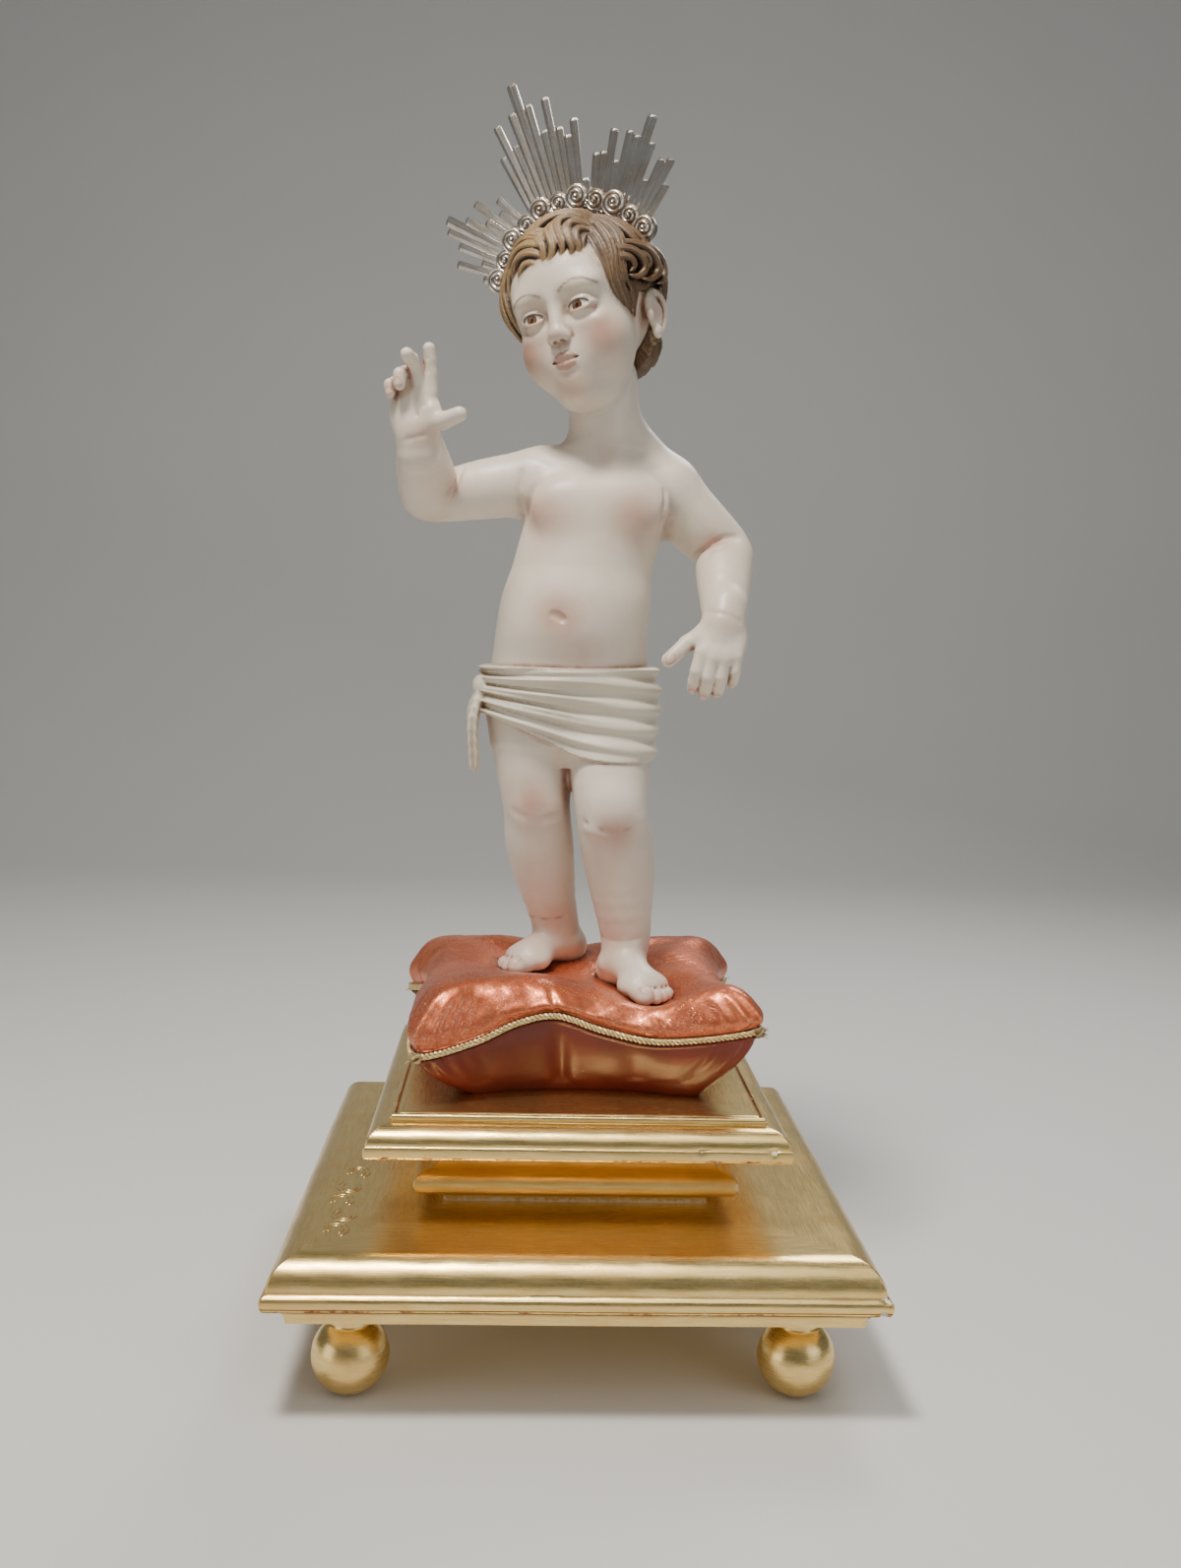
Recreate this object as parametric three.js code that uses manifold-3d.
// A standing child figure in carved and painted wood, barefoot on a carved cushion, with a cast metal
// halo behind the head, on a stepped gilded base with four ball feet.
// Millimetres, +Z up. The origin is on the ground under the middle of the base, and the figure faces -Y.
import * as THREE from 'three';
import { mergeVertices } from 'three/addons/utils/BufferGeometryUtils.js';
import { triTable } from 'three/addons/objects/MarchingCubes.js';
import { ParametricGeometry } from 'three/addons/geometries/ParametricGeometry.js';
import Module from 'manifold-3d';

const wasm = await Module();
wasm.setup();

// Driving dimensions
const BASE_SIDE = 300; // outer edge of the lower plinth
const UPPER_SIDE = 215.6; // outer edge of the upper plinth
const BLOCK_SIDE = 169; // outer edge of the block between them
const BALL_RADIUS = 19.5;
const BALL_SPACING = 224; // between the middles of two neighbouring ball feet
const PLINTH_UNDERSIDE = 47.5;
const PLINTH_TOP = 81;
const UPPER_UNDERSIDE = 115;
const UPPER_TOP = 136;
const SOLE_RIGHT = 188; // heights of the two soles, which press into the cushion
const SOLE_LEFT = 182;
const CORD_RADIUS = 1.7;
const HALO_RADIUS = 46; // middle of the halo's band, measured from the middle of the head
const FIT_GAP = 0.3; // clearance left where one carved piece sits on another
const CARVING_CELL = 2.4; // sampling step of the carved figure
const FIGURE_FACES = 4580;

// Small vector helpers on plain arrays
const add = (a, b) => [a[0] + b[0], a[1] + b[1], a[2] + b[2]];
const sub = (a, b) => [a[0] - b[0], a[1] - b[1], a[2] - b[2]];
const times = (a, s) => [a[0] * s, a[1] * s, a[2] * s];
const dot = (a, b) => a[0] * b[0] + a[1] * b[1] + a[2] * b[2];
const cross = (a, b) => [a[1] * b[2] - a[2] * b[1], a[2] * b[0] - a[0] * b[2], a[0] * b[1] - a[1] * b[0]];
const size = (a) => Math.sqrt(dot(a, a));
const unit = (a) => times(a, 1 / size(a));
const mix = (a, b, t) => a + (b - a) * t;
const clamp = (x, low, high) => Math.min(high, Math.max(low, x));
const smooth = (low, high, x) => {
  const t = clamp((x - low) / (high - low), 0, 1);
  return t * t * (3 - 2 * t);
};
const bell = (x) => Math.exp(-x * x);
const radians = (angle) => (angle * Math.PI) / 180;
const degrees = (angle) => (angle * 180) / Math.PI;

// A local frame: place() takes local coordinates to the object's frame, and local() takes them back.
// A mirrored frame has its y axis turned round, so that a right hand and a left hand share one description.
function frameAt(origin, zAxis, xHint, mirrored = false) {
  const z = unit(zAxis);
  const side = unit(cross(z, xHint));
  const x = cross(side, z);
  const y = mirrored ? times(side, -1) : side;
  return {
    origin, x, y, z,
    place: (p) => add(origin, add(times(x, p[0]), add(times(y, p[1]), times(z, p[2])))),
    local: (px, py, pz) => {
      const d = [px - origin[0], py - origin[1], pz - origin[2]];
      return [dot(d, x), dot(d, y), dot(d, z)];
    },
  };
}

// Carving strokes. Each one is a signed distance with a ball that bounds it.
// 'add' joins with a soft fillet of width soft, 'cut' takes away, and 'press' dents or swells the surface.
function taper(a, b, ra, rb, soft = 4, swell = 0) {
  const [ax, ay, az] = a;
  const [dx, dy, dz] = sub(b, a);
  const squared = dx * dx + dy * dy + dz * dz;
  const distance = (x, y, z) => {
    const px = x - ax;
    const py = y - ay;
    const pz = z - az;
    const t = clamp((px * dx + py * dy + pz * dz) / squared, 0, 1);
    const ex = px - dx * t;
    const ey = py - dy * t;
    const ez = pz - dz * t;
    return Math.sqrt(ex * ex + ey * ey + ez * ez) - mix(ra, rb, t) - swell * 4 * t * (1 - t);
  };
  const reach = Math.sqrt(squared) / 2 + Math.max(ra, rb) + Math.max(swell, 0);
  return { kind: 'add', distance, middle: times(add(a, b), 0.5), reach, soft };
}

function blob(middle, radii, soft = 4, frame = null) {
  const [rx, ry, rz] = radii;
  const distance = (x, y, z) => {
    const [px, py, pz] = frame
      ? frame.local(x, y, z)
      : [x - middle[0], y - middle[1], z - middle[2]];
    const k0 = Math.sqrt((px / rx) ** 2 + (py / ry) ** 2 + (pz / rz) ** 2);
    const k1 = Math.sqrt((px / rx ** 2) ** 2 + (py / ry ** 2) ** 2 + (pz / rz ** 2) ** 2);
    return k1 < 1e-9 ? -Math.min(rx, ry, rz) : (k0 * (k0 - 1)) / k1;
  };
  return { kind: 'add', distance, middle, reach: Math.max(rx, ry, rz), soft };
}

// An ellipsoid given in a local frame
function blobIn(frame, middle, radii, soft = 4) {
  const shifted = frameAt(frame.place(middle), frame.z, frame.x);
  return blob(shifted.origin, radii, soft, shifted);
}

function taperIn(frame, a, b, ra, rb, soft, swell) {
  return taper(frame.place(a), frame.place(b), ra, rb, soft, swell);
}

// A dent (positive depth) or a swelling (negative depth) along the line a-b
function press(a, b, width, depth) {
  const line = taper(a, b, 0, 0);
  const distance = (x, y, z) => depth * bell(line.distance(x, y, z) / width);
  return { kind: 'press', distance, middle: line.middle, reach: line.reach + 2.6 * width, soft: 0 };
}

const pressIn = (frame, a, b, width, depth) => press(frame.place(a), frame.place(b), width, depth);

function carve(strokes, x, y, z) {
  let d = 1e3;
  for (const s of strokes) {
    const [mx, my, mz] = s.middle;
    const away = Math.sqrt((x - mx) ** 2 + (y - my) ** 2 + (z - mz) ** 2) - s.reach;
    if (s.kind === 'press') {
      if (away < 0) d += s.distance(x, y, z);
    } else if (s.kind === 'add') {
      if (away < d + s.soft) {
        const e = s.distance(x, y, z);
        const h = Math.max(s.soft - Math.abs(d - e), 0) / (s.soft || 1);
        d = Math.min(d, e) - (h * h * s.soft) / 4;
      }
    } else {
      const e = -s.distance(x, y, z);
      const h = Math.max(s.soft - Math.abs(d - e), 0) / (s.soft || 1);
      d = Math.max(d, e) + (h * h * s.soft) / 4;
    }
  }
  return d;
}

function group(strokes, middle, reach, soft) {
  return { kind: 'add', distance: (x, y, z) => carve(strokes, x, y, z), middle, reach, soft };
}

// The torso as level ellipses: height, middle x, middle y, half width, half depth
const TORSO = [
  [318, -9, 7, 40, 28],
  [346, -9.3, 6, 45.5, 33],
  [365, -8.5, 3, 43.5, 34.5],
  [381, -8, -1, 42, 35.5],
  [398, -6, -1.5, 41.5, 34.5],
  [416, -3, 1, 38.8, 32],
  [443, 3.5, 4, 39, 30.5],
  [460, 6, 6, 39.5, 27.5],
  [472, 6.5, 7, 36, 22],
  [481, 6.5, 8, 24, 16],
];

function torso() {
  const row = TORSO.length;
  const at = (k, column) => TORSO[clamp(k, 0, row - 1)][column];
  const distance = (x, y, z) => {
    const height = clamp(z, TORSO[0][0], TORSO[row - 1][0]);
    let k = 0;
    while (k < row - 2 && height > TORSO[k + 1][0]) k += 1;
    const t = (height - TORSO[k][0]) / (TORSO[k + 1][0] - TORSO[k][0]);
    const [cx, cy, rx, ry] = [1, 2, 3, 4].map((column) => {
      const [p, q, r, s] = [at(k - 1, column), at(k, column), at(k + 1, column), at(k + 2, column)];
      return q + 0.5 * t * (r - p + t * (2 * p - 5 * q + 4 * r - s + t * (3 * (q - r) + s - p)));
    });
    const round = Math.sqrt(((x - cx) / rx) ** 2 + ((y - cy) / ry) ** 2);
    const side = (round - 1) * Math.min(rx, ry);
    const end = Math.abs(z - height);
    return end > 0 ? Math.sqrt(Math.max(side, 0) ** 2 + end ** 2) + Math.min(side, 0) : side;
  };
  return { kind: 'add', distance, middle: [-2, 4, 400], reach: 105, soft: 6 };
}

// Named places on the body. Right and left are the figure's own.
const NECK_FOOT = [7.5, 9, 476];
const HEAD_MIDDLE = [-5.5, -3, 551];
const SHOULDER = { right: [-27, 8, 464], left: [43.5, 9, 460.5] };
const ELBOW = { right: [-88, 9, 453.5], left: [77, 11, 428] };
const WRIST = { right: [-92, -37, 481], left: [73, -31, 388] };
const HIP = { right: [-31, 5, 342], left: [14, 2, 342] };
const KNEE = { right: [-25, 2, 283], left: [16, -17, 284] };
const CALF = { right: [-22, 11, 256], left: [22, -8, 253] };
const ANKLE = { right: [-13.5, 22, 216], left: [27, -4, 211] };

function arm(side, upper, elbowRadius, bend) {
  const [s, e, w] = [SHOULDER[side], ELBOW[side], WRIST[side]];
  const belly = add(e, times(sub(w, e), 0.3));
  return [
    taper(s, e, upper, elbowRadius, 9, 0.6),
    taper(e, belly, elbowRadius, bend, 5),
    taper(belly, w, bend, 10.6, 6, 0.4),
  ];
}

function leg(side, thigh, knee, calf, ankle) {
  const [h, k, c, a] = [HIP[side], KNEE[side], CALF[side], ANKLE[side]];
  return [
    taper(h, k, thigh, knee, 8, 1.2),
    taper(k, c, knee, calf, 8),
    taper(c, a, calf, ankle, 6, 0.6),
  ];
}

// Fingers: place across the palm, start along it, length, radius
const FINGERS = [
  [8.4, 20.5, 22, 3.9],
  [2.3, 22, 23, 4.1],
  [-4, 21.5, 21.5, 3.9],
  [-10, 18.5, 17.5, 3.5],
];
const PHALANX = [0.44, 0.31, 0.25];

// frame: z towards the fingertips, x towards the thumb, y out of the palm
function hand(frame, poses, thumb) {
  const strokes = [
    taperIn(frame, [0, 0, -10], [0, 0, 3], 10.8, 10.2, 3),
    blobIn(frame, [-0.8, 0.2, 12], [13.2, 6.6, 13.5], 5),
    taperIn(frame, [6, 2, 4], [9.5, 2.6, 11], 5.6, 5, 4),
    blobIn(frame, [-7.5, 2, 8], [5.8, 5, 9], 4),
  ];
  FINGERS.forEach(([across, along, length, radius], i) => {
    const { curl, spread } = poses[i];
    let point = [across, 0.2, along];
    strokes.push(taperIn(frame, [across * 0.8, 0.2, along - 8], point, radius, radius, 2.5));
    let turn = 0;
    PHALANX.forEach((share, j) => {
      turn += radians(curl[j]);
      const lean = radians(spread);
      const step = [Math.sin(lean) * Math.cos(turn), Math.sin(turn), Math.cos(lean) * Math.cos(turn)];
      const next = add(point, times(step, share * length));
      const thick = radius * (1 - 0.07 * j);
      strokes.push(taperIn(frame, point, next, thick, thick * 0.94, 1.2));
      point = next;
    });
  });
  strokes.push(taperIn(frame, [7, 2.4, 5], thumb[0], 5.2, 4.4, 3));
  strokes.push(taperIn(frame, thumb[0], thumb[1], 4.4, 3.9, 1.6));
  return group(strokes, frame.place([0, 4, 18]), 44, 3);
}

const curls = (...rows) => rows.map(([a, b, c, spread]) => ({ curl: [a, b, c], spread }));

function rightHand() {
  const frame = frameAt(WRIST.right, [-0.06, -0.12, 1], [0.94, -0.33, 0], true);
  const poses = curls([-4, 8, 4, 2], [14, 30, 22, -1], [10, 88, 62, -3], [12, 88, 62, -8]);
  return hand(frame, poses, [[16, 4, 6], [26, 5, 9]]);
}

function leftHand() {
  const frame = frameAt(WRIST.left, [-0.2, -0.42, -0.88], [-0.92, 0.1, 0.16]);
  const poses = curls([22, 34, 16, 4], [26, 34, 16, 1], [28, 34, 18, -1], [30, 36, 18, -6]);
  return hand(frame, poses, [[17, 3, 15], [25, 3, 27]]);
}

// Toes: place across the foot, start and end along it, radius
const TOES = [
  [8.4, 33, 42.5, 5.4],
  [1.6, 34, 42.5, 4.1],
  [-3.4, 33, 40.5, 3.9],
  [-7.8, 31, 37.5, 3.6],
  [-11.4, 28, 33.5, 3.3],
];

// frame: z towards the toes, x towards the big toe, y up. The sole is at y = 0.
function foot(frame, ankle) {
  const shin = frame.local(...ankle);
  const strokes = [
    taperIn(frame, add(shin, [0, 4, 0]), [shin[0] * 0.4, 16, -1], 12.4, 12, 4),
    blobIn(frame, [0, 10, -7], [11.4, 11.6, 12], 5),
    taperIn(frame, [0, 16, 2], [1, 8.8, 25], 11, 8.4, 6),
    blobIn(frame, [0.5, 7, 25], [14.5, 8, 12], 5),
    taperIn(frame, [-5, 6.5, -4], [-8, 5.6, 24], 7, 6, 4),
  ];
  for (const [across, start, end, radius] of TOES) {
    const tip = [across, radius + 0.2, end];
    strokes.push(taperIn(frame, [across * 0.95, 5.6, start], tip, radius, radius, 1.6));
  }
  const sole = (x, y, z) => frame.local(x, y, z)[1];
  strokes.push({ kind: 'cut', distance: sole, middle: frame.origin, reach: 60, soft: 2 });
  return group(strokes, frame.place([0, 14, 14]), 46, 4);
}

// The head's own frame: x to the figure's left, y to the back, z to the crown
const FACING = unit([-0.45, -0.89, -0.1]);
const CROWNWARD = [-0.25, 0.02, 1];

function headFrame() {
  const back = times(FACING, -1);
  const side = unit(cross(back, CROWNWARD));
  const crown = cross(side, back);
  return frameAt(HEAD_MIDDLE, crown, side);
}

const HEAD = headFrame();
const SCALP_MIDDLE = [0, 8, 11];
const SCALP_RADII = [38.5, 45, 38.5];
const NAPE = [0, 24, -20];
const EYE = [13.2, -32.6, -2];
const EYE_RADIUS = 7.2;

function face() {
  const both = (make) => [1, -1].flatMap((side) => make(side));
  return [
    blobIn(HEAD, [0, 7, 10], [37, 43, 37.5], 6),
    blobIn(HEAD, [0, -13, 13], [31, 27, 27], 10),
    blobIn(HEAD, [0, -11, -19], [27.5, 26, 30.5], 12),
    blobIn(HEAD, [0, -26.5, -40], [10.5, 9.5, 8.5], 8),
    ...both((s) => [
      blobIn(HEAD, [s * 16.5, -21, -18], [13.5, 14.5, 15.5], 9),
      pressIn(HEAD, [s * 10, -40, -1.5], [s * 17, -37, -2], 6.5, 3.4),
      blobIn(HEAD, [s * EYE[0], EYE[1], EYE[2]], [EYE_RADIUS, EYE_RADIUS, EYE_RADIUS], 1),
      pressIn(HEAD, [s * 10, -41.5, -4], [s * 16.5, -40.5, -4.4], 1, 0.8),
      taperIn(HEAD, [s * 3.6, -42.6, -14.6], [s * 4.4, -40.4, -14.2], 2.3, 2.2, 1.6),
      blobIn(HEAD, [s * 37.5, 6, -8], [3.6, 8, 11.5], 2.5),
      pressIn(HEAD, [s * 40, 3.5, -12], [s * 41, 5, -2], 3, 2.2),
    ]),
    taperIn(HEAD, [0, -39, 3], [0, -45.2, -12.4], 3, 4, 4.5),
    taperIn(HEAD, [-6.6, -39.2, -24.4], [0, -42, -22.9], 1.5, 2.3, 2.5),
    taperIn(HEAD, [6.6, -39.2, -24.4], [0, -42, -22.9], 1.5, 2.3, 2.5),
    taperIn(HEAD, [-4.6, -39.8, -27], [4.6, -39.8, -27], 2.1, 2.1, 2.5, 0.9),
    pressIn(HEAD, [-7.6, -40.4, -24.9], [7.6, -40.4, -24.9], 0.9, 1.1),
    pressIn(HEAD, [-4, -39, -31.6], [4, -39, -31.6], 2.4, 1),
  ];
}

// Hair flows from a whorl at the back of the crown in three tiers of waved locks, down to the hairline
const WHORL = unit([0.1, 0.5, 0.86]);
const HAIRLINE_NORMAL = unit([0, 0.74, 0.66]);
const HAIRLINE_LEVEL = -11;
const TIERS = [
  { locks: 9, start: 6, end: 48, thick: 5 },
  { locks: 14, start: 34, end: 76, thick: 5.2 },
  { locks: 19, start: 60, end: 150, thick: 5 },
];
const LOCK_STEPS = 6;

function scalpPoint(tilt, around, lift) {
  const u = unit(cross(WHORL, [1, 0, 0]));
  const w = cross(WHORL, u);
  const ring = add(times(u, Math.cos(around)), times(w, Math.sin(around)));
  const d = add(times(WHORL, Math.cos(tilt)), times(ring, Math.sin(tilt)));
  return SCALP_MIDDLE.map((c, i) => c + d[i] * (SCALP_RADII[i] + lift));
}

function lock(tier, index, row) {
  const around = (2 * Math.PI * (index + 0.5 * row)) / tier.locks;
  const from = radians(tier.start + 5 * Math.sin(3.7 * index + row));
  let to = radians(tier.end);
  while (to > from + 0.2 && dot(scalpPoint(to, around, 0), HAIRLINE_NORMAL) < HAIRLINE_LEVEL) to -= 0.03;
  const sway = 0.16 + 0.05 * Math.sin(5.1 * index);
  const points = Array.from({ length: LOCK_STEPS + 1 }, (_, i) => {
    const t = i / LOCK_STEPS;
    const tilt = mix(from, to, t);
    const ease = Math.sin(Math.PI * clamp(t + 0.15, 0, 1));
    const wave = sway * ease * Math.sin(2 * Math.PI * (t * 0.95 + 0.13 * index));
    return HEAD.place(scalpPoint(tilt, around + wave / Math.sin(tilt + 0.3), 1.8 - 1.2 * t));
  });
  const radius = (t) => tier.thick * (0.55 + 0.75 * Math.sin(Math.PI * (0.15 + 0.72 * t)) - 0.35 * t) * 0.72;
  return points.slice(1).map((p, i) => (
    taper(points[i], p, radius(i / LOCK_STEPS), radius((i + 1) / LOCK_STEPS), 1.2)
  ));
}

// The fringe: locks that start on the front of the crown and fall over the forehead, curling to the
// figure's right. Each is given by its place across the forehead, its length and its thickness.
const FRINGE = [
  [-28, 24, 4], [-20, 26, 4.4], [-11, 24, 4.6], [-2, 22, 4.6], [7, 20, 4.4], [15, 16, 4],
];

function fringeLock([across, length, thick], index) {
  const point = (t) => {
    const x = across + 13 * (1 - t) - 4 * Math.sin(Math.PI * 1.5 * t + index);
    const lift = 3.2 * Math.sin(Math.PI * (0.15 + 0.8 * t));
    const z = 47 - 0.12 * Math.abs(x) - length * t;
    const [rx, ry, rz] = SCALP_RADII.map((r) => r + lift);
    const [dx, dz] = [x / rx, (z - SCALP_MIDDLE[2]) / rz];
    const y = SCALP_MIDDLE[1] - ry * Math.sqrt(Math.max(1 - dx * dx - dz * dz, 0));
    return HEAD.place([x, y, z]);
  };
  const steps = 5;
  return Array.from({ length: steps }, (_, i) => {
    const [t0, t1] = [i / steps, (i + 1) / steps];
    const radius = (t) => thick * (0.62 + 0.35 * Math.sin(Math.PI * (0.1 + 0.8 * t)) - 0.35 * t ** 3);
    return taper(point(t0), point(t1), radius(t0), radius(t1), 1.2);
  });
}

function hair() {
  const cap = blobIn(HEAD, SCALP_MIDDLE, SCALP_RADII.map((r) => r + 0.6), 1);
  const bare = (x, y, z) => dot(HEAD.local(x, y, z), HAIRLINE_NORMAL) - HAIRLINE_LEVEL;
  return [
    cap,
    { kind: 'cut', distance: bare, middle: HEAD.origin, reach: 60, soft: 3 },
    blobIn(HEAD, NAPE, [31, 17, 18], 5),
    ...TIERS.flatMap((tier, row) => (
      Array.from({ length: tier.locks }, (_, index) => lock(tier, index, row)).flat()
    )),
    ...FRINGE.flatMap(fringeLock),
  ];
}

function head() {
  const strokes = [...face(), group(hair(), HEAD.place([0, 8, 11]), 54, 0.8)];
  return group(strokes, HEAD.place([0, 2, 2]), 62, 3);
}

// A short cloth round the hips, carved in one with the body. Its folds run round and draw together
// into a knot on the figure's right hip.
const CLOTH_MIDDLE = [-9, 4];
const CLOTH_KNOT = radians(200);
const CLOTH_FOLDS = 4.5;

function loincloth(hips) {
  const distance = (x, y, z) => {
    const under = carve(hips, x, y, z);
    if (under > 14 || z > 400 || z < 280) return 14;
    const turn = Math.atan2(y - CLOTH_MIDDLE[1], x - CLOTH_MIDDLE[0]);
    const open = 0.5 - 0.5 * Math.cos(turn - CLOTH_KNOT);
    const front = Math.max(0, -Math.sin(turn));
    const middle = 350 - 12 * open ** 0.8 - 7 * front;
    const half = mix(12, 25, open ** 0.7) + 5 * front;
    const q = (z - middle) / half;
    const fold = Math.sin(Math.PI * CLOTH_FOLDS * q + 2.2 * Math.sin(turn * 1.5 + 0.6));
    const thick = 2.3 + 1.1 * fold + 1 * bell((Math.abs(q) - 0.93) / 0.13);
    const body = under - thick;
    const band = (Math.abs(q) - 1) * half;
    const h = Math.max(3 - Math.abs(body - band), 0) / 3;
    return Math.max(body, band) + h * h * 0.75;
  };
  return { kind: 'add', distance, middle: [-9, 4, 340], reach: 72, soft: 0.8 };
}

function clothKnot() {
  const place = [-56, -3, 350];
  const tail = (end, bow, wide) => [
    taper(place, bow, 4.5, wide, 2),
    taper(bow, end, wide, wide * 0.8, 2),
  ];
  return group([
    blob(place, [6.5, 8, 7], 2),
    ...tail([-60, -10, 306], [-61, -10, 332], 4.2),
    ...tail([-61, 3, 314], [-62, 1, 336], 4),
  ], place, 58, 1.5);
}

function figure() {
  const rightLeg = leg('right', 22, 17.6, 18, 12);
  const leftLeg = leg('left', 22.5, 18.6, 18.8, 12.6);
  const seat = [
    blob([-27, 20, 340], [22, 19, 23], 8),
    blob([10, 19, 340], [22, 19, 23], 8),
  ];
  const trunk = torso();
  const wrapped = [trunk, ...seat, rightLeg[0], leftLeg[0]].map((s) => ({ ...s, soft: 14 }));
  const rightFoot = frameAt([-10, 25, SOLE_RIGHT], [-0.72, -0.69, 0], [0.69, -0.72, 0]);
  const leftFoot = frameAt([25, -9, SOLE_LEFT], [0.42, -0.91, 0], [-0.91, -0.42, 0], true);
  return [
    trunk,
    ...seat,
    taper(SHOULDER.right, SHOULDER.left, 15, 15, 10),
    taper(NECK_FOOT, HEAD.place([0, 8, -34]), 20, 18.5, 10),
    blob([-13, -19, 450], [17, 7.4, 12], 12),
    blob([24, -17, 451], [17, 7.4, 12], 12),
    taper([16, 10, 497], [43, 10, 466], 11, 13, 8),
    ...arm('right', 18, 12, 15),
    ...arm('left', 18, 14.4, 14.4),
    ...rightLeg,
    ...leftLeg,
    blob(add(KNEE.left, [1, -10, 1]), [13, 9, 12], 8),
    blob(add(KNEE.right, [-1, -9, 0]), [11, 8, 11], 8),
    press([-19, -39, 389], [-15, -39, 389], 3.4, 4.5),
    press([-44, -18, 362], [-30, -31, 356], 3, 1.4),
    press([-38, 6, 216], [10, -4, 222], 2, 1),
    press([62, -4, 430], [72, -8, 424], 2.4, 1.6),
    rightHand(),
    leftHand(),
    foot(rightFoot, ANKLE.right),
    foot(leftFoot, ANKLE.left),
    head(),
    loincloth(wrapped),
    clothKnot(),
  ];
}

// Samples the carved form in blocks, looking in each only at the strokes that come near it
const BLOCK = 8;

function sampleForm(strokes, low, high, cell) {
  const count = low.map((l, i) => Math.ceil((high[i] - l) / cell / BLOCK) * BLOCK + 1);
  const [nx, ny, nz] = count;
  const field = new Float32Array(nx * ny * nz).fill(20);
  const margin = 14;
  const reachOfBlock = (Math.sqrt(3) * BLOCK * cell) / 2;
  for (let bz = 0; bz < nz; bz += BLOCK) {
    for (let by = 0; by < ny; by += BLOCK) {
      for (let bx = 0; bx < nx; bx += BLOCK) {
        const middle = [bx, by, bz].map((b, i) => low[i] + (b + BLOCK / 2) * cell);
        const near = strokes.filter((s) => size(sub(s.middle, middle)) - s.reach < reachOfBlock + margin);
        if (near.length === 0) continue;
        const fill = carve(near, ...middle);
        if (Math.abs(fill) > reachOfBlock * 1.6 + 4) {
          fillBlock(field, count, [bx, by, bz], () => fill);
          continue;
        }
        fillBlock(field, count, [bx, by, bz], (i, j, k) => (
          carve(near, low[0] + i * cell, low[1] + j * cell, low[2] + k * cell)
        ));
      }
    }
  }
  return { field, count, low, cell };
}

function fillBlock(field, [nx, ny, nz], [bx, by, bz], value) {
  for (let k = bz; k < Math.min(bz + BLOCK, nz); k += 1) {
    for (let j = by; j < Math.min(by + BLOCK, ny); j += 1) {
      for (let i = bx; i < Math.min(bx + BLOCK, nx); i += 1) {
        field[i + nx * (j + ny * k)] = value(i, j, k);
      }
    }
  }
}

// Marching cubes over the samples. Corner and edge numbers follow the table's own order.
const CORNERS = [[0, 0, 0], [1, 0, 0], [1, 1, 0], [0, 1, 0], [0, 0, 1], [1, 0, 1], [1, 1, 1], [0, 1, 1]];
const EDGES = [
  [0, 1], [1, 2], [3, 2], [0, 3], [4, 5], [5, 6], [7, 6], [4, 7], [0, 4], [1, 5], [2, 6], [3, 7],
];

function skinForm({ field, count: [nx, ny, nz], low, cell }) {
  const points = [];
  const faces = [];
  const made = new Map();
  const at = (i, j, k) => i + nx * (j + ny * k);
  const pointOn = (i, j, k, edge) => {
    const [a, b] = EDGES[edge].map((corner) => CORNERS[corner].map((c, axis) => c + [i, j, k][axis]));
    const axis = a.findIndex((c, n) => c !== b[n]);
    const key = at(...a) * 3 + axis;
    if (!made.has(key)) {
      const fa = field[at(...a)];
      const fb = field[at(...b)];
      const t = clamp(fa / (fa - fb), 0.06, 0.94);
      made.set(key, points.length / 3);
      points.push(...a.map((c, n) => low[n] + cell * mix(c, b[n], t)));
    }
    return made.get(key);
  };
  for (let k = 0; k < nz - 1; k += 1) {
    for (let j = 0; j < ny - 1; j += 1) {
      for (let i = 0; i < nx - 1; i += 1) {
        let inside = 0;
        CORNERS.forEach(([x, y, z], n) => {
          if (field[at(i + x, j + y, k + z)] < 0) inside |= 1 << n;
        });
        if (inside === 0 || inside === 255) continue;
        for (let n = inside * 16; triTable[n] !== -1; n += 3) {
          faces.push([0, 1, 2].map((c) => pointOn(i, j, k, triTable[n + c])));
        }
      }
    }
  }
  return { points: Float64Array.from(points), faces };
}

// A smallest-first queue
class Queue {
  constructor() {
    this.items = [];
  }

  push(item) {
    const { items } = this;
    let i = items.length;
    items.push(item);
    while (i > 0) {
      const up = (i - 1) >> 1;
      if (items[up].cost <= item.cost) break;
      items[i] = items[up];
      i = up;
    }
    items[i] = item;
  }

  pop() {
    const { items } = this;
    const first = items[0];
    const last = items.pop();
    let i = 0;
    while (items.length > 0) {
      let down = 2 * i + 1;
      if (down >= items.length) break;
      if (down + 1 < items.length && items[down + 1].cost < items[down].cost) down += 1;
      if (items[down].cost >= last.cost) break;
      items[i] = items[down];
      i = down;
    }
    if (items.length > 0) items[i] = last;
    return first;
  }
}

// A vertex's error is the weighted sum of its squared distances to the planes of its faces,
// kept as the ten numbers of a symmetric 4 x 4 matrix
function addPlane(q, [a, b, c], d, weight) {
  [a * a, a * b, a * c, a * d, b * b, b * c, b * d, c * c, c * d, d * d].forEach((value, i) => {
    q[i] += weight * value;
  });
}

function errorAt(q, [x, y, z]) {
  const first = q[0] * x * x + 2 * q[1] * x * y + 2 * q[2] * x * z + 2 * q[3] * x;
  return first + q[4] * y * y + 2 * q[5] * y * z + 2 * q[6] * y + q[7] * z * z + 2 * q[8] * z + q[9];
}

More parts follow.
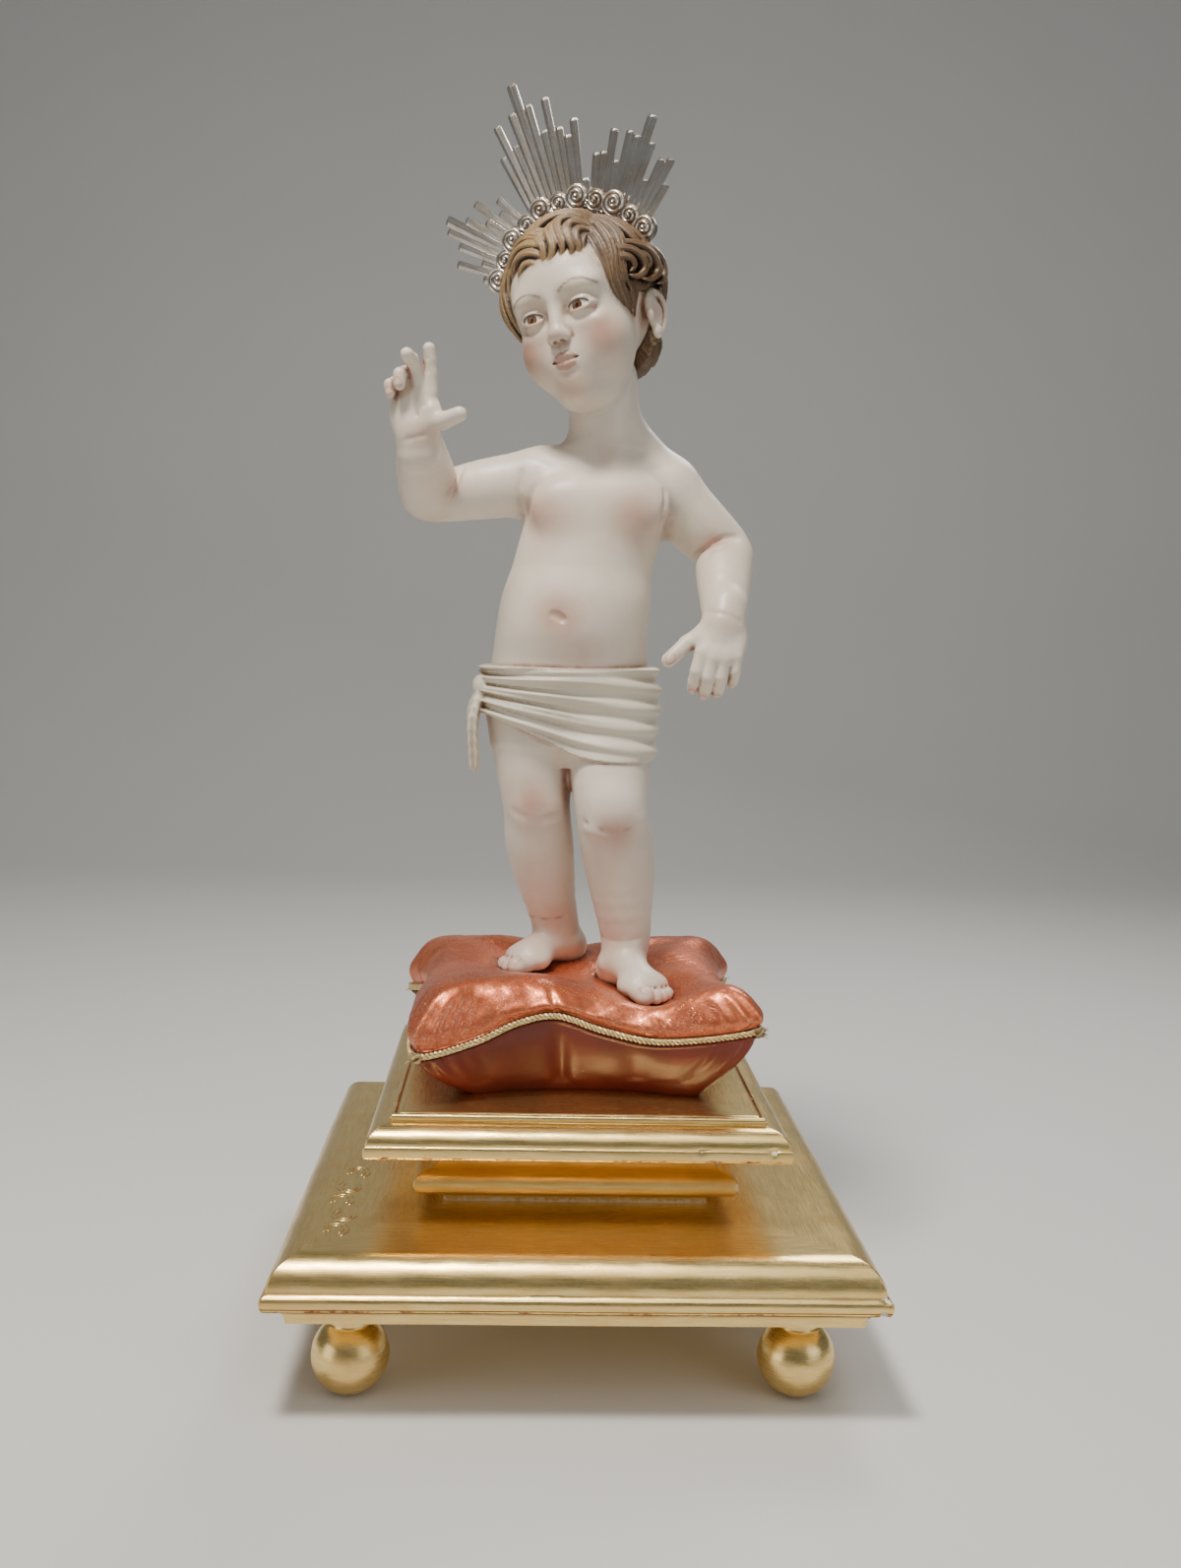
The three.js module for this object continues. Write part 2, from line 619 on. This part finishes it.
function lowestPoint(q, a, b) {
  const middle = times(add(a, b), 0.5);
  const [r0, r1, r2] = [[q[0], q[1], q[2]], [q[1], q[4], q[5]], [q[2], q[5], q[7]]];
  const volume = dot(r0, cross(r1, r2));
  const scale = (q[0] + q[4] + q[7]) ** 3;
  if (Math.abs(volume) < 1e-4 * scale) return middle;
  const right = [-q[3], -q[6], -q[8]];
  const point = [
    dot(right, cross(r1, r2)) / volume,
    dot(r0, cross(right, r2)) / volume,
    dot(r0, cross(r1, right)) / volume,
  ];
  return size(sub(point, middle)) < 1.5 * size(sub(a, b)) ? point : middle;
}

// Edge collapse: takes away, again and again, the edge whose loss changes the surface least
function simplify({ points, faces: given }, target, care) {
  const faces = given.map((face) => [...face]);
  const place = Array.from({ length: points.length / 3 }, (_, v) => [...points.slice(3 * v, 3 * v + 3)]);
  const error = place.map(() => new Float64Array(10));
  const ring = place.map(() => new Set());
  const age = new Int32Array(place.length);
  const queue = new Queue();

  const neighbours = (v) => {
    const found = new Set();
    ring[v].forEach((f) => faces[f].forEach((w) => w !== v && found.add(w)));
    return found;
  };
  const offer = (a, b) => {
    const sum = error[a].map((value, i) => value + error[b][i]);
    const point = lowestPoint(sum, place[a], place[b]);
    const length = size(sub(place[a], place[b]));
    queue.push({ cost: errorAt(sum, point) + 2e-4 * length ** 2, a, b, ages: [age[a], age[b]], point, sum });
  };
  const turnsOver = (v, other, point) => [...ring[v]].some((f) => {
    if (faces[f].includes(other)) return false;
    const old = faces[f].map((w) => place[w]);
    const fresh = faces[f].map((w) => (w === v ? point : place[w]));
    const [n0, n1] = [old, fresh].map(([p, q, r]) => cross(sub(q, p), sub(r, p)));
    const longest = Math.max(...[0, 1, 2].map((i) => size(sub(fresh[i], fresh[(i + 1) % 3]))));
    return dot(n0, n1) < 0.35 * size(n0) * size(n1) || size(n1) < 0.08 * longest ** 2;
  });

  faces.forEach((face, index) => {
    const [a, b, c] = face.map((v) => place[v]);
    const normal = cross(sub(b, a), sub(c, a));
    const area = size(normal);
    face.forEach((v) => {
      ring[v].add(index);
      if (area === 0) return;
      addPlane(error[v], times(normal, 1 / area), -dot(normal, a) / area, area * care(place[v]));
    });
  });
  place.forEach((_, v) => neighbours(v).forEach((w) => v < w && offer(v, w)));

  let left = faces.length;
  while (left > target && queue.items.length > 0) {
    const { a, b, ages, point, sum } = queue.pop();
    if (age[a] !== ages[0] || age[b] !== ages[1]) continue;
    const near = neighbours(a);
    const shared = [...neighbours(b)].filter((v) => near.has(v));
    if (shared.length !== 2 || turnsOver(a, b, point) || turnsOver(b, a, point)) continue;
    ring[b].forEach((f) => {
      if (faces[f].includes(a)) {
        faces[f].forEach((v) => v !== b && ring[v].delete(f));
        faces[f] = null;
        left -= 1;
      } else {
        faces[f] = faces[f].map((v) => (v === b ? a : v));
        ring[a].add(f);
      }
    });
    ring[b] = new Set();
    place[a] = point;
    error[a] = sum;
    age[a] += 1;
    age[b] = -1;
    neighbours(a).forEach((v) => offer(a, v));
  }
  return { points: place.flat(), faces: faces.filter((face) => face !== null) };
}

// Solids
function toSolid({ points, faces }) {
  const at = (v) => [points[3 * v], points[3 * v + 1], points[3 * v + 2]];
  const volume = faces.reduce((sum, [a, b, c]) => sum + dot(at(a), cross(at(b), at(c))), 0);
  const outward = volume > 0 ? faces : faces.map(([a, b, c]) => [a, c, b]);
  const used = new Map();
  outward.flat().forEach((v) => used.has(v) || used.set(v, used.size));
  return new wasm.Manifold(new wasm.Mesh({
    numProp: 3,
    vertProperties: Float32Array.from([...used.keys()].flatMap(at)),
    triVerts: Uint32Array.from(outward.flat().map((v) => used.get(v))),
  }));
}

function fromGeometry(geometry) {
  const bare = geometry.clone();
  bare.deleteAttribute('uv');
  bare.deleteAttribute('normal');
  const merged = mergeVertices(bare, 1e-3);
  const corners = merged.index.array;
  const faces = [];
  for (let i = 0; i < corners.length; i += 3) {
    const [a, b, c] = corners.slice(i, i + 3);
    if (a !== b && b !== c && c !== a) faces.push([a, b, c]);
  }
  return toSolid({ points: merged.attributes.position.array, faces });
}

const join = (solids) => solids.reduce((whole, next) => whole.add(next));
const largest = (solid) => solid.decompose().sort((a, b) => b.volume() - a.volume())[0];

// The same solid with its surface moved outward, to cut room for it in a neighbour
function swollen(solid, by) {
  const { vertProperties: points, triVerts } = solid.getMesh();
  const geometry = new THREE.BufferGeometry();
  geometry.setAttribute('position', new THREE.BufferAttribute(Float32Array.from(points), 3));
  geometry.setIndex([...triVerts]);
  geometry.computeVertexNormals();
  const normals = geometry.attributes.normal.array;
  const moved = points.map((value, i) => value + by * normals[i]);
  return new wasm.Manifold(new wasm.Mesh({ numProp: 3, vertProperties: moved, triVerts }));
}

function toMesh(name, solid, material) {
  const { vertProperties, triVerts } = solid.getMesh();
  const geometry = new THREE.BufferGeometry();
  geometry.setAttribute('position', new THREE.BufferAttribute(Float32Array.from(vertProperties), 3));
  geometry.setIndex([...triVerts]);
  geometry.computeVertexNormals();
  const mesh = new THREE.Mesh(geometry, material);
  mesh.name = name;
  return mesh;
}

// Part of an ellipse as a list of [across, height] points
function arc([x, z], [rx, rz], from, to, steps) {
  return Array.from({ length: steps + 1 }, (_, i) => {
    const turn = radians(mix(from, to, i / steps));
    return [x + rx * Math.cos(turn), z + rz * Math.sin(turn)];
  });
}

// A profile of [radius, height] points turned round the upright axis
function turned(profile, segments, start = 0) {
  const points = profile.map(([radius, height]) => new THREE.Vector2(radius, height));
  return new THREE.LatheGeometry(points, segments, start).rotateX(Math.PI / 2);
}

// A profile of [half side, height] points run round a square with mitred corners
function squareMoulding(profile) {
  const closed = [[0, profile[0][1]], ...profile, [0, profile.at(-1)[1]]];
  return fromGeometry(turned(closed.map(([half, z]) => [half * Math.SQRT2, z]), 4, Math.PI / 4));
}

function lowerPlinth() {
  const half = BASE_SIDE / 2;
  return squareMoulding([
    ...arc([half, PLINTH_UNDERSIDE], [10, 10], 180, 90, 3),
    [half, PLINTH_UNDERSIDE + 17.5],
    [half - 2, PLINTH_UNDERSIDE + 18],
    ...arc([half - 17, PLINTH_UNDERSIDE + 18.5], [15, PLINTH_TOP - PLINTH_UNDERSIDE - 18.5], 0, 90, 5),
  ]);
}

function block() {
  const half = BLOCK_SIDE / 2;
  return squareMoulding([
    [half - 15, PLINTH_TOP],
    [half - 15, PLINTH_TOP + 3],
    ...arc([half - 5, PLINTH_TOP + 3], [9.5, 4.5], 180, 90, 2).slice(1),
    ...arc([half - 5.5, PLINTH_TOP + 13.5], [5.5, 5.5], -90, 90, 6),
    ...arc([half - 5.5, PLINTH_TOP + 26], [7, 6.5], -90, -180, 3),
    [half - 12.5, UPPER_UNDERSIDE],
  ]);
}

function upperPlinth() {
  const half = UPPER_SIDE / 2;
  return squareMoulding([
    [half - 4.8, UPPER_UNDERSIDE],
    [half, UPPER_UNDERSIDE + 2],
    [half, UPPER_UNDERSIDE + 8],
    ...arc([half - 12.4, UPPER_UNDERSIDE + 8.3], [11.6, 8.7], 0, 90, 4),
    [half - 12.8, UPPER_TOP - 2.6],
    [half - 13.4, UPPER_TOP - 2],
    [half - 13.4, UPPER_TOP],
  ]);
}

// A ball with a short neck, and a small flat spot where it stands
function ballFoot() {
  const middle = BALL_RADIUS - 0.5;
  const neck = 10;
  const flat = -degrees(Math.asin(middle / BALL_RADIUS));
  const up = degrees(Math.acos(neck / BALL_RADIUS));
  return fromGeometry(turned([
    [0, 0],
    ...arc([0, middle], [BALL_RADIUS, BALL_RADIUS], flat, up, 7),
    [neck, PLINTH_UNDERSIDE - 5],
    [neck + 3, PLINTH_UNDERSIDE],
    [0, PLINTH_UNDERSIDE],
  ], 11));
}

// The cushion's seam, anticlockwise from the front left corner. It droops at the corners.
const SEAM_CORNER = { frontLeft: 0, frontRight: 6, backRight: 10, backLeft: 14 };
const SEAM = new THREE.CatmullRomCurve3([
  [-83, -84, 162.5], [-54, -77, 168.5], [-32, -73, 178], [-13, -71, 181.5], [12, -71, 174],
  [40, -73, 169], [91, -82, 178], [86, -45, 176], [81, 0, 181], [86, 42, 172],
  [93, 78, 167], [42, 69, 172], [-5, 65, 179], [-52, 68, 170],
  [-97, 74, 161], [-88, 38, 169], [-84, 0, 178], [-88, -42, 170],
].map((p) => new THREE.Vector3(...p)), true);
const SEAM_MIDDLE = [0, -4];
const CUSHION_TOP = 191;
const CUSHION_FOOT = 0.7; // the size of the underside as a share of the seam
const GROOVE = 1.24 * (CORD_RADIUS + FIT_GAP); // its three flat sides clear the cord by the gap
const SEAM_STEPS = 50;

// How far the top sinks under the feet: middle of the dent, its reach and its depth
const DENTS = [
  { middle: [42, -49], reach: 25, depth: 20 },
  { middle: [26, -14], reach: 24, depth: 6 },
  { middle: [-26, 8], reach: 26, depth: 5 },
];

function sink(x, y) {
  return DENTS.reduce((sum, { middle, reach, depth }) => (
    sum + depth * bell(Math.hypot(x - middle[0], y - middle[1]) / reach)
  ), 0);
}

// One section of the cushion, from the middle of the underside (0) through the seam (1) to the top (2)
function cushionPoint(around, t) {
  const seam = SEAM.getPointAt(around % 1);
  const out = [seam.x - SEAM_MIDDLE[0], seam.y - SEAM_MIDDLE[1]];
  const reach = Math.hypot(...out);
  const turn = Math.atan2(out[1], out[0]);
  const lobe = 0.5 - 0.5 * Math.cos(4 * turn);
  const at = (share, z) => [SEAM_MIDDLE[0] + out[0] * share, SEAM_MIDDLE[1] + out[1] * share, z];
  const inset = 1 - (GROOVE * 0.75) / reach;
  if (t < 0.2) return at((CUSHION_FOOT * t) / 0.2, UPPER_TOP);
  if (t < 0.9) {
    const a = ((0.9 - t) / 0.7) * (Math.PI / 2);
    const from = seam.z - GROOVE;
    const down = a / (Math.PI / 2);
    return at(mix(inset, CUSHION_FOOT, down ** 1.25), mix(from, UPPER_TOP, down ** 0.85));
  }
  if (t < 1.1) {
    const a = ((t - 1) / 0.1) * (Math.PI / 2);
    return at(1 + (GROOVE * (0.28 - Math.cos(a))) / reach, seam.z + GROOVE * Math.sin(a));
  }
  const a = ((t - 1.1) / 0.9) * (Math.PI / 2);
  const from = seam.z + GROOVE;
  const crest = (5 + 7 * lobe) * Math.sin(2 * a) ** 1.6;
  const share = Math.cos(a) ** 0.85 * inset + 0.05 * Math.sin(2 * a) + 0.028 * bell((a - 0.14) / 0.16);
  const [x, y, z] = at(share, mix(from, CUSHION_TOP, Math.sin(a) ** 0.7) + crest);
  return [x, y, Math.max(z - sink(x, y) * Math.sin(a) ** 0.5, mix(from, z, 0.2))];
}

function closedSurface(point, around, along) {
  return fromGeometry(new ParametricGeometry((u, v, target) => {
    target.set(...point(u, v));
  }, around, along));
}

function cushion(figureSolid, knots) {
  const rows = [0, 0.2, 0.43, 0.67, 0.9, 0.96, 1.04, 1.1, 1.22, 1.38, 1.54, 1.7, 1.86, 2];
  const last = rows.length - 1;
  const body = closedSurface((u, v) => cushionPoint(u, rows[Math.round(v * last)]), SEAM_STEPS, last);
  const cutters = [figureSolid, ...knots].map((piece) => swollen(piece, FIT_GAP));
  return largest(cutters.reduce((rest, cutter) => rest.subtract(cutter), body));
}

// A knot of the cord at each corner
const CORD_OFFSET = GROOVE * 0.28;
const KNOT_RADIUS = 3.9;
const KNOT_OUT = 0.8; // how far a knot sits outside the cord

function cordKnots() {
  return Object.values(SEAM_CORNER).map((index) => {
    const corner = SEAM.points[index];
    const out = unit([corner.x - SEAM_MIDDLE[0], corner.y - SEAM_MIDDLE[1], 0]);
    const centre = add([corner.x, corner.y, corner.z - 0.5], times(out, CORD_OFFSET + KNOT_OUT));
    return fromGeometry(new THREE.SphereGeometry(KNOT_RADIUS, 7, 5).translate(...centre));
  });
}

// The twisted cord on the seam
function cushionCord(knots) {
  const middle = (u) => {
    const p = SEAM.getPointAt(u % 1);
    const out = unit([p.x - SEAM_MIDDLE[0], p.y - SEAM_MIDDLE[1], 0]);
    return { centre: add([p.x, p.y, p.z], times(out, CORD_OFFSET)), out };
  };
  const tube = closedSurface((u, v) => {
    const { centre, out } = middle(u);
    const turn = -2 * Math.PI * v;
    return add(centre, add(times(out, CORD_RADIUS * Math.cos(turn)), [0, 0, CORD_RADIUS * Math.sin(turn)]));
  }, SEAM_STEPS, 5);
  return join([tube, ...knots]);
}

// The halo stands in the head's frame: x to the figure's left, y to the crown, z to the front
const HALO_CENTRE = [-4, 9, 16];
const BAND_SPREAD = 68;
const BAND_WIDTH = 7;
const PLATE = 2; // thickness of the band and the rays
const VOLUTES = 11;
const RAY_HALF_ROOT = 1.6;
const RAY_HALF_TIP = 2.3;
const PIN = [1.7, 30]; // half width of the tongue that holds the band on the head, and how low it starts
const BURSTS = [
  { roots: [-67, -25], leans: [-62, -37], tips: [60, 78, 63, 80, 90, 93, 82, 70, 82, 66, 72] },
  { roots: [-19, 20], leans: [-17, 10], tips: [87, 103, 88, 104, 118, 104, 88, 104, 87, 82, 90, 59] },
  { roots: [24.7, 65.3], leans: [19, 48], tips: [72, 73, 85, 70, 86, 85, 97, 85, 68, 81, 84, 73] },
];

function haloMatrix() {
  const axes = [HEAD.x, HEAD.z, times(HEAD.y, -1)].map((v) => new THREE.Vector3(...v));
  return new THREE.Matrix4().makeBasis(...axes).setPosition(...HEAD.place(HALO_CENTRE));
}

// A ray's outline: it leaves the band at one angle and leans at another, both from the crown
function ray(root, lean, tip) {
  const [sin, cos] = [Math.sin(radians(lean)), Math.cos(radians(lean))];
  const from = [HALO_RADIUS * Math.sin(radians(root)), HALO_RADIUS * Math.cos(radians(root))];
  const ahead = from[0] * sin + from[1] * cos;
  const length = Math.sqrt(ahead ** 2 + tip ** 2 - HALO_RADIUS ** 2) - ahead;
  const at = (along, half) => [from[0] + sin * along + cos * half, from[1] + cos * along - sin * half];
  return [
    at(0, RAY_HALF_ROOT), at(length, RAY_HALF_TIP), at(length, -RAY_HALF_TIP), at(0, -RAY_HALF_ROOT),
  ];
}

function burst({ roots, leans, tips }) {
  return tips.map((tip, i) => {
    const t = i / (tips.length - 1);
    return ray(mix(...roots, t), mix(...leans, t), tip);
  });
}

function volute(degrees, height) {
  const button = turned([
    [0, 0], [6, 0], [5.2, 2.9], [2.8, 1.5], [0, 3.8],
  ], 7);
  const turn = radians(degrees);
  return button.translate(height * Math.sin(turn), height * Math.cos(turn), 0.4);
}

function halo(figureSolid) {
  const [inner, outer] = [HALO_RADIUS - BAND_WIDTH / 2, HALO_RADIUS + BAND_WIDTH / 2];
  const [left, right] = [90 + BAND_SPREAD, 90 - BAND_SPREAD];
  const band = [
    ...arc([0, 0], [inner, inner], left, right, 13),
    ...arc([0, 0], [outer, outer], right, left, 13),
  ];
  const [half, low] = PIN;
  const tongue = [[-half, low], [half, low], [half, HALO_RADIUS], [-half, HALO_RADIUS]];
  const outlines = [band, tongue, ...BURSTS.flatMap(burst)].map((line) => new wasm.CrossSection([line]));
  const matrix = haloMatrix();
  const sheet = wasm.CrossSection.union(outlines).extrude(PLATE, 0, 0, [1, 1], true);
  const buttons = Array.from({ length: VOLUTES }, (_, i) => (
    volute(mix(-BAND_SPREAD + 4, BAND_SPREAD - 2, i / (VOLUTES - 1)), HALO_RADIUS + 3)
  ));
  const whole = join([
    sheet.transform(matrix.elements),
    ...buttons.map((button) => fromGeometry(button.applyMatrix4(matrix))),
  ]);
  return largest(whole.subtract(swollen(figureSolid, FIT_GAP)));
}

// Finer facets where the carving is finer
function careAt(p) {
  const near = (middle, reach) => bell(size(sub(p, middle)) / reach);
  const hands = near([-96, -45, 500], 30) + near([70, -40, 368], 30);
  const feet = near([-20, 10, 192], 28) + near([35, -25, 190], 28);
  return 1 + 3 * hands + 1.5 * feet + 3.5 * near(HEAD_MIDDLE, 46);
}

function carvedFigure() {
  const samples = sampleForm(figure(), [-128, -78, 176], [108, 70, 618], CARVING_CELL);
  const { vertProperties: points, triVerts } = largest(toSolid(skinForm(samples))).getMesh();
  const faces = Array.from({ length: triVerts.length / 3 }, (_, i) => [...triVerts.slice(3 * i, 3 * i + 3)]);
  return largest(toSolid(simplify({ points, faces }, FIGURE_FACES, careAt)));
}

const gilding = new THREE.MeshStandardMaterial({ color: 0xc9973f, roughness: 0.34, metalness: 0.9 });
const flesh = new THREE.MeshStandardMaterial({ color: 0xe6d6c6, roughness: 0.42, metalness: 0 });
const redLacquer = new THREE.MeshStandardMaterial({ color: 0x9c3020, roughness: 0.3, metalness: 0.25 });
const goldCord = new THREE.MeshStandardMaterial({ color: 0xc8a867, roughness: 0.6, metalness: 0.3 });
const silver = new THREE.MeshStandardMaterial({ color: 0xb4b0ab, roughness: 0.3, metalness: 1 });

const object = new THREE.Group();
object.add(toMesh('plinth_lower', lowerPlinth(), gilding));
object.add(toMesh('plinth_block', block(), gilding));
object.add(toMesh('plinth_upper', upperPlinth(), gilding));
for (const [end, y] of [['front', -1], ['back', 1]]) {
  for (const [side, x] of [['left', -1], ['right', 1]]) {
    const ball = toMesh(`foot_${end}_${side}`, ballFoot(), gilding);
    ball.position.set((x * BALL_SPACING) / 2, (y * BALL_SPACING) / 2, 0);
    object.add(ball);
  }
}
const figureSolid = carvedFigure();
const knots = cordKnots();
object.add(toMesh('cushion', cushion(figureSolid, knots), redLacquer));
object.add(toMesh('cushion_cord', cushionCord(knots), goldCord));
object.add(toMesh('figure', figureSolid, flesh));
object.add(toMesh('halo', halo(figureSolid), silver));

export default object;
